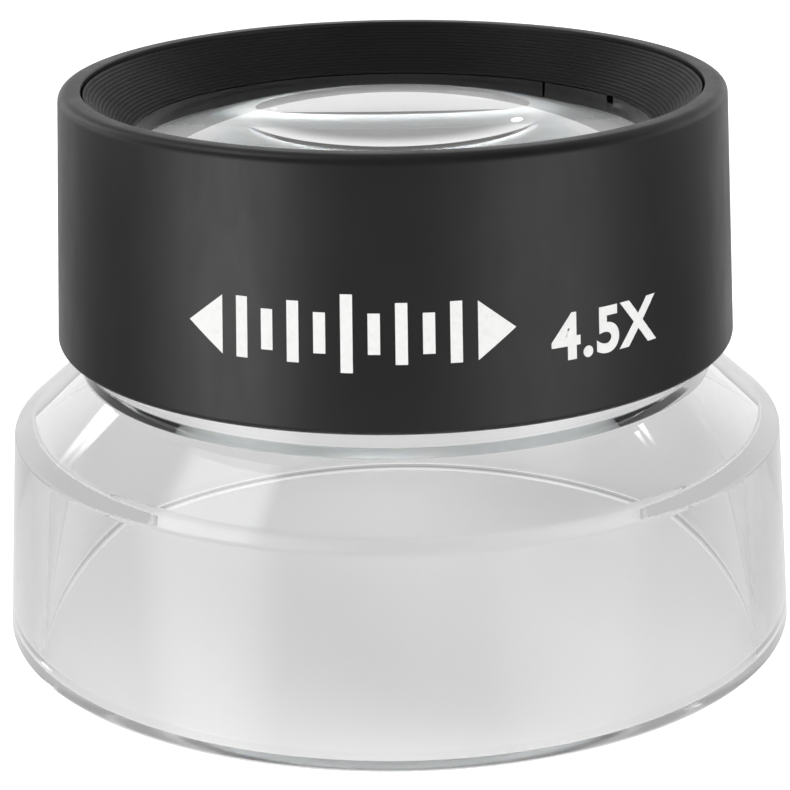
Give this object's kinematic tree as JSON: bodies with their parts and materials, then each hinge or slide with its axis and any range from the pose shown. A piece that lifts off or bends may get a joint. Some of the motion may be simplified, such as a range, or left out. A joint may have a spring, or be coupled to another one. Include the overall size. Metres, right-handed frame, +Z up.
{
  "type": "stand loupe",
  "caption": "Stand loupe: a wide convex lens in a black screw-focusing head on a flared clear acrylic skirt that rests on the slide or print being viewed.",
  "frame": {"origin": "centre of the clear base's resting face, on the optical axis", "axes": "+Z up along the optical axis, from the resting face to the rim of the head"},
  "size_m": [0.0952, 0.0952, 0.065],
  "materials": {
    "clear_acrylic": "clear moulded acrylic, polished",
    "lens_acrylic": "clear optical acrylic, polished",
    "black_plastic": "satin black, fine moulded texture",
    "matt_black_plastic": "matt black, anti-glare",
    "natural_acetal": "natural acetal, smooth",
    "black_rubber": "soft black rubber",
    "natural_silicone": "soft pale silicone",
    "white_print": "white pad print"
  },
  "bodies": {
    "base": {"clear_base": "clear_acrylic", "neck_ring": "black_plastic", "drag_ring": "black_rubber"},
    "stop": {"travel_stop_ring": "natural_acetal"},
    "head": {"barrel": "black_plastic", "lens_cell": "natural_acetal", "lens_gasket": "natural_silicone", "lens": "lens_acrylic", "lens_retaining_ring": "black_plastic", "eye_bezel": "matt_black_plastic"}
  },
  "joints": [
    {"name": "focus_travel", "type": "slide", "parent": "base", "child": "stop", "axis": [0, 0, 1], "range_m": [-0.0025, 0.0035]},
    {"name": "focus_turn", "type": "hinge", "parent": "stop", "child": "head", "pos_m": [0, 0, 0.05], "axis": [0, 0, 1], "range_deg": [-74.9, 104.9]}
  ],
  "couplings": [
    {"joint": "focus_travel", "follows": "focus_turn", "m_per_rad": 0.0019099}
  ]
}
